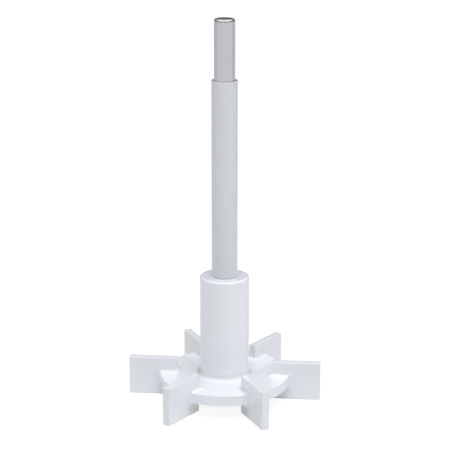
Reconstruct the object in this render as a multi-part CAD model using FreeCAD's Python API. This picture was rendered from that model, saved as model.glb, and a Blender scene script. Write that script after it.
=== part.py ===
import FreeCAD, Part
import math
import os

os.makedirs("parts", exist_ok=True)

# Laboratory stirrer shaft with a six-bladed disc turbine, in millimetres.
# The origin is on the shaft axis, level with the feet of the blades, and +Z
# runs up the shaft to the bare steel end that a drive chuck grips.
overall_length = 149.1

# Steel core: the bare end stands on a low shoulder over the stretch inside the sleeve
core_diameter = 8.0
core_shoulder = 0.25
bare_length = 23.1
core_end_round = 0.9
core_tip_chamfer = 1.0

# Sleeve over the core, its foot turned down to a spigot that the hub takes
sleeve_diameter = 10.0
spigot_shoulder = 0.25
spigot_length = 16.0
sleeve_edge_break = 0.2

# Turbine: hub, disc and blades are one machined piece
turbine_diameter = 75.0
blade_count = 6
blade_length = 18.75
blade_height = 15.0
blade_thickness = 3.0
blade_turn = -6.0
disc_diameter = 50.0
disc_thickness = 4.0
hub_diameter = 19.0
hub_height = 40.0
hub_edge_round = 0.8
root_fillet = 2.0
edge_break = 0.15

# Blind bore in the hub, stepped for the spigot and the core
bore_floor_thickness = 6.0
drill_point_angle = 118.0
tip_clearance = 0.5

core_radius = core_diameter / 2
sheathed_radius = core_radius - core_shoulder
sleeve_radius = sleeve_diameter / 2
spigot_radius = sleeve_radius - spigot_shoulder
disc_radius = disc_diameter / 2
hub_radius = hub_diameter / 2
disc_bottom = (blade_height - disc_thickness) / 2
disc_top = disc_bottom + disc_thickness
hub_top = disc_top + hub_height
sleeve_bottom = hub_top - spigot_length
sleeve_top = overall_length - bare_length
bore_bottom = disc_bottom + bore_floor_thickness
core_tip = bore_bottom + tip_clearance


def outline_edges(corners):
    """Edges of a closed outline in the XZ plane from (radius, height, rounding) corners."""
    points = [FreeCAD.Vector(r, 0, z) for r, z, _ in corners]
    starts, ends, arcs = [], [], []
    for i, (_, _, rounding) in enumerate(corners):
        here = points[i]
        back = (points[i - 1] - here).normalize()
        ahead = (points[(i + 1) % len(points)] - here).normalize()
        if rounding == 0:
            starts.append(here)
            ends.append(here)
            arcs.append(None)
            continue
        half_angle = back.getAngle(ahead) / 2
        run = rounding / math.tan(half_angle)
        centre = here + (back + ahead).normalize() * (rounding / math.sin(half_angle))
        crown = centre + (here - centre).normalize() * rounding
        starts.append(here + back * run)
        ends.append(here + ahead * run)
        arcs.append(Part.Arc(starts[-1], crown, ends[-1]).toShape())
    edges = []
    for i, arc in enumerate(arcs):
        if arc is not None:
            edges.append(arc)
        edges.append(Part.LineSegment(ends[i], starts[(i + 1) % len(starts)]).toShape())
    return edges


def turned(corners):
    """Solid of revolution about the shaft axis."""
    face = Part.Face(Part.Wire(outline_edges(corners)))
    return face.revolve(FreeCAD.Vector(0, 0, 0), FreeCAD.Vector(0, 0, 1), 360)


def steel_core():
    return turned([
        (0, core_tip, 0),
        (sheathed_radius - core_tip_chamfer, core_tip, 0),
        (sheathed_radius, core_tip + core_tip_chamfer, 0),
        (sheathed_radius, sleeve_top, 0),
        (core_radius, sleeve_top, 0),
        (core_radius, overall_length, core_end_round),
        (0, overall_length, 0),
    ])


def ptfe_sleeve():
    return turned([
        (sheathed_radius, sleeve_bottom, 0),
        (spigot_radius, sleeve_bottom, 0),
        (spigot_radius, hub_top, 0),
        (sleeve_radius - sleeve_edge_break, hub_top, 0),
        (sleeve_radius, hub_top + sleeve_edge_break, 0),
        (sleeve_radius, sleeve_top - sleeve_edge_break, 0),
        (sleeve_radius - sleeve_edge_break, sleeve_top, 0),
        (sheathed_radius, sleeve_top, 0),
    ])


def hub_and_disc():
    """Hub on its disc, with the stepped blind bore and its drill point."""
    drill_point = sheathed_radius / math.tan(math.radians(drill_point_angle / 2))
    return turned([
        (0, disc_bottom, 0),
        (disc_radius, disc_bottom, 0),
        (disc_radius, disc_top, 0),
        (hub_radius, disc_top, root_fillet),
        (hub_radius, hub_top, hub_edge_round),
        (spigot_radius, hub_top, 0),
        (spigot_radius, sleeve_bottom, 0),
        (sheathed_radius, sleeve_bottom, 0),
        (sheathed_radius, bore_bottom, 0),
        (0, bore_bottom - drill_point, 0),
    ])


def blade():
    """One flat paddle along +X, every edge broken with a small chamfer."""
    corner = FreeCAD.Vector(turbine_diameter / 2 - blade_length, -blade_thickness / 2, 0)
    plate = Part.makeBox(blade_length, blade_thickness, blade_height, corner)
    return plate.makeChamfer(edge_break, plate.Edges)


def junction_edges(solid, first, second):
    """Edges of the fused solid that lie where its two parts meet."""
    meeting = first.section(second)
    chosen = []
    for edge in solid.Edges:
        middle = edge.valueAt((edge.FirstParameter + edge.LastParameter) / 2)
        if meeting.distToShape(Part.Vertex(middle))[0] < 1e-4:
            chosen.append(edge)
    return chosen


def turbine():
    body = hub_and_disc()
    for i in range(blade_count):
        paddle = blade()
        paddle.rotate(FreeCAD.Vector(0, 0, 0), FreeCAD.Vector(0, 0, 1), blade_turn + i * 360 / blade_count)
        joined = body.fuse(paddle)
        body = joined.makeFillet(root_fillet, junction_edges(joined, body, paddle))
    return body


nodes = {"steel_core": steel_core, "ptfe_sleeve": ptfe_sleeve, "turbine": turbine}
for name, build in nodes.items():
    shape = build()
    if shape.ShapeType != "Solid":
        shape = shape.Solids[0]
    shape.exportStep("parts/" + name + ".step")
    print(name, "valid", shape.isValid(), "volume %.1f" % shape.Volume)
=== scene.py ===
import math

import bmesh
import bpy
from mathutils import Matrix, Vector


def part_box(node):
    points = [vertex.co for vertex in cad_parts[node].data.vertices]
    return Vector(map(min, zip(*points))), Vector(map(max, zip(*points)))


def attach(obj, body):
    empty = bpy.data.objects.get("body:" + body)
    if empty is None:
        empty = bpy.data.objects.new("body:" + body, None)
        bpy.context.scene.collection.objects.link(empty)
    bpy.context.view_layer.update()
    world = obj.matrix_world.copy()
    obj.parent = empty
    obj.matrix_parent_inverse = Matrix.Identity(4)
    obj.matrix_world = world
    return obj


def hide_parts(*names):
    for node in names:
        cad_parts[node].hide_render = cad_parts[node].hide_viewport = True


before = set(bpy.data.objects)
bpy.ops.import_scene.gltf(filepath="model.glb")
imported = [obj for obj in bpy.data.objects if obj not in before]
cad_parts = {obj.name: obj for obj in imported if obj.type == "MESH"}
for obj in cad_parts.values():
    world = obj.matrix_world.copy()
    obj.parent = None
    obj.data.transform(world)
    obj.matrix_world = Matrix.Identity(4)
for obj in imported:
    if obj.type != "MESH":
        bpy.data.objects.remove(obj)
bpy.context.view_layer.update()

mm = 0.001
deg = math.pi / 180

bpy.context.scene.view_settings.view_transform = "Standard"

# Camera where the photograph's was, in front of the shaft and looking a little down on it

photoView = {
    "distance": 598.4 * mm,
    "height": 246.1 * mm,
    "pitchDown": 16.42 * deg,
    "lens": 130.6,
    "sensor": 36.0,
    "shift": 0.0009,
    "clip": (0.01, 50),
}


def placeCamera(view):
    data = bpy.data.cameras.new("photoCamera")
    data.lens = view["lens"]
    data.sensor_width = view["sensor"]
    data.shift_x = view["shift"]
    data.clip_start, data.clip_end = view["clip"]
    camera = bpy.data.objects.new("photoCamera", data)
    camera.location = (0, -view["distance"], view["height"])
    camera.rotation_euler = (math.pi / 2 - view["pitchDown"], 0, 0)
    bpy.context.scene.collection.objects.link(camera)
    bpy.context.scene.camera = camera


placeCamera(photoView)
print("camera placed")


# Small helpers for the node trees, whose nodes are laid out by column and row

nodeGrid = (200, -180)


# A socket takes a plain value or another node's output
def feed(tree, socket, value):
    if isinstance(value, bpy.types.NodeSocket):
        tree.links.new(value, socket)
    else:
        socket.default_value = value


def addNode(tree, kind, place, inputs=None, **settings):
    node = tree.nodes.new(kind)
    node.location = (place[0] * nodeGrid[0], place[1] * nodeGrid[1])
    for key, value in settings.items():
        setattr(node, key, value)
    for label, value in (inputs or {}).items():
        feed(tree, node.inputs[label], value)
    return node


def mathNode(tree, place, operation, first, second):
    return addNode(tree, "ShaderNodeMath", place, {0: first, 1: second}, operation=operation).outputs[0]


def mixNumbers(tree, place, factor, first, second):
    inputs = {"Factor": factor, "A": first, "B": second}
    return addNode(tree, "ShaderNodeMix", place, inputs).outputs["Result"]


# On a Mix node the colour sockets share their names with the number sockets, so they go by index
def mixColours(tree, place, factor, first, second):
    inputs = {"Factor": factor, 6: (*first, 1), 7: (*second, 1)}
    return addNode(tree, "ShaderNodeMix", place, inputs, data_type="RGBA").outputs[2]


def rangeNode(tree, place, value, span, shades, kind="LINEAR"):
    inputs = {"Value": value, "From Min": span[0], "From Max": span[1],
              "To Min": shades[0], "To Max": shades[1]}
    return addNode(tree, "ShaderNodeMapRange", place, inputs, interpolation_type=kind).outputs["Result"]


def grey(level):
    return (level, level, level, 1)


def newGroup(name, inputs, output):
    tree = bpy.data.node_groups.new(name, "ShaderNodeTree")
    for label, kind, value in inputs:
        socket = tree.interface.new_socket(name=label, in_out="INPUT", socket_type=kind)
        if value is not None:
            socket.default_value = value
    tree.interface.new_socket(name=output, in_out="OUTPUT", socket_type="NodeSocketFloat")
    given = addNode(tree, "NodeGroupInput", (-5, 0)).outputs
    result = addNode(tree, "NodeGroupOutput", (4, 0)).inputs[output]
    return tree, given, result


# Effects that the materials share

grooveNoise = {"Scale": 1.0, "Detail": 3.0, "Roughness": 0.6}
wearNoise = {"Scale": 90.0}
hazeNoise = {"Detail": 3.0}


# Fine grooves that a tool leaves on a turned piece: rings on its faces and rounds on its sides, fainter
# in patches
def toolMarksGroup():
    tree, given, result = newGroup("toolMarks", [
        ("Coordinates", "NodeSocketVector", None),
        ("Pitch", "NodeSocketFloat", 0.3 * mm),
        ("Fading", "NodeSocketFloat", 0.5),
    ], "Height")
    split = addNode(tree, "ShaderNodeSeparateXYZ", (-4, 0), {0: given["Coordinates"]}).outputs
    flat = addNode(tree, "ShaderNodeCombineXYZ", (-4, 1), {"X": split["X"], "Y": split["Y"]}).outputs[0]
    radius = addNode(tree, "ShaderNodeVectorMath", (-3, 1), {0: flat}, operation="LENGTH").outputs["Value"]
    path = mathNode(tree, (-2, 0), "ADD", radius, split["Z"])
    turns = mathNode(tree, (-1, 0), "DIVIDE", path, given["Pitch"])
    grooves = addNode(tree, "ShaderNodeTexNoise", (0, 0), {"W": turns, **grooveNoise}, noise_dimensions="1D")
    wear = addNode(tree, "ShaderNodeTexNoise", (0, 2), {"Vector": given["Coordinates"], **wearNoise})
    fade = mathNode(tree, (1, 2), "MULTIPLY", wear.outputs["Fac"], given["Fading"])
    kept = mathNode(tree, (2, 2), "SUBTRACT", 1.0, fade)
    feed(tree, result, mathNode(tree, (3, 0), "MULTIPLY", grooves.outputs["Fac"], kept))
    return tree


# Slow change of shade and gloss over a surface
def surfaceHazeGroup():
    tree, given, result = newGroup("surfaceHaze", [
        ("Coordinates", "NodeSocketVector", None),
        ("Scale", "NodeSocketFloat", 60.0),
    ], "Patches")
    inputs = {"Vector": given["Coordinates"], "Scale": given["Scale"], **hazeNoise}
    feed(tree, result, addNode(tree, "ShaderNodeTexNoise", (0, 0), inputs).outputs["Fac"])
    return tree


toolMarks = toolMarksGroup()
surfaceHaze = surfaceHazeGroup()
print("effects built")


# Materials

noiseSpan = (0.3, 0.7)        # noise seldom leaves this span


def placeGroup(tree, group, place, inputs):
    return addNode(tree, "ShaderNodeGroup", place, inputs, node_tree=group).outputs[0]


def newMaterial(name, finish):
    material = bpy.data.materials.new(name)
    material.use_nodes = True
    tree = material.node_tree
    shader = tree.nodes["Principled BSDF"]
    for label, value in finish["fixed"].items():
        shader.inputs[label].default_value = value
    place = addNode(tree, "ShaderNodeTexCoord", (-6, 0)).outputs["Object"]
    return material, tree, shader, place


# The haze sets the gloss, the haze or the marks shade the colour, and the marks are the bump too
def finishSurface(tree, shader, place, finish, marks):
    haze = placeGroup(tree, surfaceHaze, (-4, 0), {"Coordinates": place, "Scale": finish["hazeScale"]})
    shade = {"haze": haze, "marks": marks}[finish["shadedBy"]]
    depth = {"Height": marks, "Strength": 1.0, "Distance": finish["markDepth"]}
    feed(tree, shader.inputs["Base Color"], mixColours(tree, (-2, 0), shade, finish["dark"], finish["light"]))
    feed(tree, shader.inputs["Roughness"], rangeNode(tree, (-2, 1), haze, noiseSpan, finish["roughness"]))
    feed(tree, shader.inputs["Normal"], addNode(tree, "ShaderNodeBump", (-1, 3), depth).outputs["Normal"])


turbineFinish = {
    "light": (0.88, 0.905, 0.95),
    "dark": (0.855, 0.88, 0.93),
    "shadedBy": "haze",
    "hazeScale": 70.0,
    "roughness": (0.05, 0.09),
    "grooves": 0.35 * mm,
    "fading": 0.6,
    "markDepth": 0.0003 * mm,
    "fixed": {"IOR": 1.6, "Coat Weight": 1.0, "Coat IOR": 1.6, "Coat Roughness": 0.03},
}

steelFinish = {
    "light": (0.70, 0.69, 0.735),
    "dark": (0.64, 0.63, 0.675),
    "shadedBy": "marks",
    "hazeScale": 120.0,
    "roughness": (0.13, 0.19),
    "grooves": 0.12 * mm,
    "fading": 0.5,
    "markDepth": 0.0005 * mm,
    "fixed": {"Metallic": 1.0, "Anisotropic": 0.3},
}


def machinedMaterial(name, finish, milled):
    material, tree, shader, place = newMaterial(name, finish)
    path = place
    if milled:
        # a mill's marks run level along a blade and not round the shaft
        level = {"Vector": place, "Scale": (0, 0, 1)}
        path = addNode(tree, "ShaderNodeMapping", (-5, 3), level).outputs["Vector"]
    inputs = {"Coordinates": path, "Pitch": finish["grooves"], "Fading": finish["fading"]}
    finishSurface(tree, shader, place, finish, placeGroup(tree, toolMarks, (-4, 3), inputs))
    return material


sleeveFinish = {
    "light": (0.69, 0.712, 0.751),
    "dark": (0.665, 0.687, 0.726),
    "shadedBy": "haze",
    "hazeScale": 50.0,
    "roughness": (0.08, 0.13),
    "lineStretch": (1, 1, 0.01),
    "lineNoise": {"Scale": 1800.0, "Detail": 2.0},
    "markDepth": 0.0008 * mm,
    "fixed": {"IOR": 1.8, "Coat Weight": 1.0, "Coat IOR": 1.8, "Coat Roughness": 0.08},
}


# Long faint lines from the die, so the noise is stretched up the shaft
def drawnMaterial(name, finish):
    material, tree, shader, place = newMaterial(name, finish)
    stretch = {"Vector": place, "Scale": finish["lineStretch"]}
    along = addNode(tree, "ShaderNodeMapping", (-5, 3), stretch).outputs["Vector"]
    lines = addNode(tree, "ShaderNodeTexNoise", (-3, 3), {"Vector": along, **finish["lineNoise"]})
    finishSurface(tree, shader, place, finish, lines.outputs["Fac"])
    return material


turnedPtfe = machinedMaterial("turnedPtfe", turbineFinish, False)
milledPtfe = machinedMaterial("milledPtfe", turbineFinish, True)
drawnTube = drawnMaterial("drawnTube", sleeveFinish)
groundSteel = machinedMaterial("groundSteel", steelFinish, False)
print("materials built")


# Pieces

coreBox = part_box("steel_core")
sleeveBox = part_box("ptfe_sleeve")
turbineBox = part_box("turbine")


def smoothFaces(bm, sharpAngle):
    for face in bm.faces:
        face.smooth = True
    for edge in bm.edges:
        edge.smooth = edge.is_manifold and edge.calc_face_angle() < sharpAngle


def finishPiece(bm, name, materials, node):
    mesh = bpy.data.meshes.new(name)
    bm.to_mesh(mesh)
    bm.free()
    for material in materials:
        mesh.materials.append(material)
    piece = bpy.data.objects.new(name, mesh)
    bpy.context.scene.collection.objects.link(piece)
    piece.modifiers.new("evenShading", "WEIGHTED_NORMAL").keep_sharp = True
    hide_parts(node)
    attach(piece, "root")
    print(name, "made,", len(mesh.polygons), "faces")


turning = {
    "steps": 128,
    "merge": 0.001 * mm,
    "cornerReach": 0.01 * mm,
    "roundSteps": 5,
    "sharpAngle": 30 * deg,
}


# Turned piece from (radius, height, rounding) corners: a rod's start and end on the axis, a tube's close on
# themselves
def turnPiece(corners, size):
    bm = bmesh.new()
    ring = [bm.verts.new((r, 0, z)) for r, z, rounding in corners]
    pairs = list(zip(ring, ring[1:]))
    if corners[0][0] > 0:
        pairs.append((ring[-1], ring[0]))
    edges = [bm.edges.new(pair) for pair in pairs]
    bmesh.ops.spin(bm, geom=ring + edges, axis=(0, 0, 1), cent=(0, 0, 0), steps=size["steps"],
                   angle=2 * math.pi, use_merge=True)
    bmesh.ops.remove_doubles(bm, verts=bm.verts, dist=size["merge"])
    bmesh.ops.recalc_face_normals(bm, faces=bm.faces)
    for r, z, rounding in corners:
        if not rounding:
            continue
        onCorner = {v for v in bm.verts
                    if math.hypot(math.hypot(v.co.x, v.co.y) - r, v.co.z - z) < size["cornerReach"]}
        bmesh.ops.bevel(bm, geom=[e for e in bm.edges if onCorner.issuperset(e.verts)], offset=rounding,
                        offset_type="OFFSET", affect="EDGES", segments=size["roundSteps"], profile=0.5,
                        material=-1)
    smoothFaces(bm, size["sharpAngle"])
    return bm


steelCore = {
    "shoulder": 0.25 * mm,
    "endRound": 0.9 * mm,
    "tipChamfer": 1.0 * mm,
}


def makeSteelCore(size):
    low, high = coreBox
    radius = high.x
    sheathed = radius - size["shoulder"]
    bareFoot = sleeveBox[1].z
    bm = turnPiece([
        (0, low.z, 0),
        (sheathed - size["tipChamfer"], low.z, 0),
        (sheathed, low.z + size["tipChamfer"], 0),
        (sheathed, bareFoot, 0),
        (radius, bareFoot, 0),
        (radius, high.z, size["endRound"]),
        (0, high.z, 0),
    ], turning)
    finishPiece(bm, "steelCore", [groundSteel], "steel_core")


ptfeSleeve = {
    "spigotStep": 0.25 * mm,
    "edgeBreak": 0.2 * mm,
}


def makeSleeve(size):
    low, high = sleeveBox
    outer = high.x
    inner = coreBox[1].x - steelCore["shoulder"]
    spigot = outer - size["spigotStep"]
    hubTop = turbineBox[1].z
    bm = turnPiece([
        (inner, low.z, 0),
        (spigot, low.z, 0),
        (spigot, hubTop, 0),
        (outer - size["edgeBreak"], hubTop, 0),
        (outer, hubTop + size["edgeBreak"], 0),
        (outer, high.z, size["edgeBreak"]),
        (inner, high.z, 0),
    ], turning)
    finishPiece(bm, "ptfeSleeve", [drawnTube], "ptfe_sleeve")


turbine = {
    "merge": 0.0001 * mm,
    "sliver": 0.005 * mm,
    "flatAngle": 0.3 * deg,
    "easedAngle": 60 * deg,       # flatter edges stay as they are
    "easedLength": 0.2 * mm,      # and so do shorter ones
    "easing": 0.1 * mm,
    "easingSteps": 2,
    "milledFrom": 17 * mm,        # the blades and the rim stand outside this radius
    "milledTilt": 0.5,
    "sharpAngle": 50 * deg,
}


# The solid's own mesh is copied, joined up and rid of slivers, and its crisp edges are eased as a scraper
# leaves them
def makeTurbine(size):
    bm = bmesh.new()
    bm.from_mesh(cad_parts["turbine"].data)
    bmesh.ops.remove_doubles(bm, verts=bm.verts, dist=size["merge"])
    bmesh.ops.dissolve_degenerate(bm, dist=size["sliver"], edges=bm.edges)
    bmesh.ops.dissolve_limit(bm, angle_limit=size["flatAngle"], verts=bm.verts, edges=bm.edges)
    crisp = [e for e in bm.edges if e.is_manifold and e.calc_face_angle_signed() > size["easedAngle"]
             and e.calc_length() > size["easedLength"]]
    bmesh.ops.bevel(bm, geom=crisp, offset=size["easing"], offset_type="OFFSET", affect="EDGES",
                    segments=size["easingSteps"], profile=0.5, material=-1)
    for face in bm.faces:
        middle = face.calc_center_median()
        upright = abs(face.normal.z) < size["milledTilt"]
        if upright and math.hypot(middle.x, middle.y) > size["milledFrom"]:
            face.material_index = 1        # milledPtfe
    smoothFaces(bm, size["sharpAngle"])
    finishPiece(bm, "turbineBody", [turnedPtfe, milledPtfe], "turbine")


makeSteelCore(steelCore)
makeSleeve(ptfeSleeve)
makeTurbine(turbine)


# White table and dome. What a mirror sees of them is shaded: a dark band above the horizon, a bright ring
# below the zenith, and a table whose light changes with the distance and from front to back.

studio = {
    "floorSize": 6.0,
    "floorBase": 0.85,
    "floorShown": 0.17,
    # the table's glow close to the object, below the white far off: painted shade round its foot
    "floorGlow": 0.87,
    "mirroredNear": (0.34, 0.58),
    "mirroredFar": (0.66, 0.52),
    "mirrorTurn": 0.1,
    "nearShade": (0.08, 0.34),
    "domeStrength": 0.265,
    "mirroredSky": ((0, 0.4), (8, 0.1), (12, 0.1), (18, 0.28), (21, 0.34), (28, 0.4), (40, 0.5),
                    (50, 1.5), (80, 1.5), (86, 0.45)),        # elevation in degrees, light
}


def floorMaterial(size):
    material = bpy.data.materials.new("paleFloor")
    material.use_nodes = True
    tree = material.node_tree
    tree.nodes.clear()
    rays = addNode(tree, "ShaderNodeLightPath", (-6, 0)).outputs
    seen = mathNode(tree, (-5, 0), "MAXIMUM", rays["Is Camera Ray"], rays["Is Glossy Ray"])
    seen = mathNode(tree, (-4, 0), "MAXIMUM", seen, rays["Is Transmission Ray"])

    spot = addNode(tree, "ShaderNodeTexCoord", (-8, 3)).outputs["Object"]
    back = addNode(tree, "ShaderNodeSeparateXYZ", (-7, 3), {0: spot}).outputs["Y"]
    away = addNode(tree, "ShaderNodeVectorMath", (-7, 4), {0: spot}, operation="LENGTH").outputs["Value"]
    turn = (-size["mirrorTurn"], size["mirrorTurn"])
    near = rangeNode(tree, (-6, 3), back, turn, size["mirroredNear"], "SMOOTHSTEP")
    far = rangeNode(tree, (-6, 4), back, turn, size["mirroredFar"], "SMOOTHSTEP")
    farther = rangeNode(tree, (-6, 5), away, size["nearShade"], (0.0, 1.0), "SMOOTHSTEP")
    # to the camera the table glows darker near the object: a painted shade round its foot, over the real
    # shadow that the diffuse part keeps
    glowWithPaintedShade = rangeNode(tree, (-5, 5), away, size["nearShade"], (size["floorGlow"], 1.0), "SMOOTHSTEP")
    inMirror = mixNumbers(tree, (-5, 3), farther, near, far)
    glow = mixNumbers(tree, (-3, 3), rays["Is Glossy Ray"], glowWithPaintedShade, inMirror)

    plain = addNode(tree, "ShaderNodeBsdfDiffuse", (-2, 1), {"Color": grey(size["floorBase"])}).outputs[0]
    shadowed = addNode(tree, "ShaderNodeBsdfDiffuse", (-2, 2), {"Color": grey(size["floorShown"])}).outputs[0]
    glowing = addNode(tree, "ShaderNodeEmission", (-2, 3), {"Strength": glow}).outputs[0]
    white = addNode(tree, "ShaderNodeAddShader", (-1, 2), {0: shadowed, 1: glowing}).outputs[0]
    surface = addNode(tree, "ShaderNodeMixShader", (0, 0), {0: seen, 1: plain, 2: white}).outputs[0]
    addNode(tree, "ShaderNodeOutputMaterial", (1, 0), {"Surface": surface})
    return material


def makeFloor(size):
    bm = bmesh.new()
    bmesh.ops.create_grid(bm, x_segments=1, y_segments=1, size=size["floorSize"] / 2)
    mesh = bpy.data.meshes.new("floor")
    bm.to_mesh(mesh)
    bm.free()
    mesh.materials.append(floorMaterial(size))
    floor = bpy.data.objects.new("floor", mesh)
    bpy.context.scene.collection.objects.link(floor)


def makeWorld(size):
    world = bpy.data.worlds.new("studioDome")
    bpy.context.scene.world = world
    world.use_nodes = True
    tree = world.node_tree
    rays = addNode(tree, "ShaderNodeLightPath", (-6, 0)).outputs
    heading = addNode(tree, "ShaderNodeTexCoord", (-7, 2)).outputs["Generated"]
    rise = addNode(tree, "ShaderNodeSeparateXYZ", (-6, 2), {0: heading}).outputs["Z"]
    sky = addNode(tree, "ShaderNodeValToRGB", (-5, 2), {"Fac": rise})
    steps = size["mirroredSky"]
    brightest = max(light for height, light in steps)
    while len(sky.color_ramp.elements) < len(steps):
        sky.color_ramp.elements.new(1.0)
    for element, (height, light) in zip(sky.color_ramp.elements, steps):
        element.position = math.sin(height * deg)
        element.color = grey(light / brightest)
    inMirror = mathNode(tree, (-3, 2), "MULTIPLY", sky.outputs["Color"], brightest)
    strength = mixNumbers(tree, (-2, 1), rays["Is Glossy Ray"], size["domeStrength"], inMirror)
    white = mathNode(tree, (-3, 0), "MAXIMUM", rays["Is Camera Ray"], rays["Is Transmission Ray"])
    background = tree.nodes["Background"]
    feed(tree, background.inputs["Color"], grey(1.0))
    feed(tree, background.inputs["Strength"], mixNumbers(tree, (-1, 0), white, strength, 1.0))


# The low lamps only fill in, so they cast no shadow
lamps = {
    "overhead": {"place": (0, 0, 1.5), "size": 1.2, "watts": 8.9, "shadow": True},
    "softbox": {"place": (0.1, -0.4, 1.5), "size": 1.2, "watts": 10.6, "shadow": True},
    "front": {"place": (0.2, -1.4, 0.4), "size": 0.7, "watts": 1.2, "shadow": False},
    "left": {"place": (-1.3, -0.5, 0.8), "size": 1.2, "watts": 1.3, "shadow": False},
    "right": {"place": (1.3, -0.5, 0.8), "size": 1.2, "watts": 3.8, "shadow": False},
}
lampAim = Vector((0, 0, 60 * mm))


def makeLamps(table, aim):
    for name, lamp in table.items():
        data = bpy.data.lights.new(name, "AREA")
        data.shape = "DISK"
        data.size = lamp["size"]
        data.energy = lamp["watts"]
        data.use_shadow = lamp["shadow"]
        light = bpy.data.objects.new(name, data)
        light.location = lamp["place"]
        light.rotation_euler = (aim - light.location).to_track_quat("-Z", "Y").to_euler()
        light.visible_glossy = False
        bpy.context.scene.collection.objects.link(light)


makeFloor(studio)
makeWorld(studio)
makeLamps(lamps, lampAim)
print("studio set")
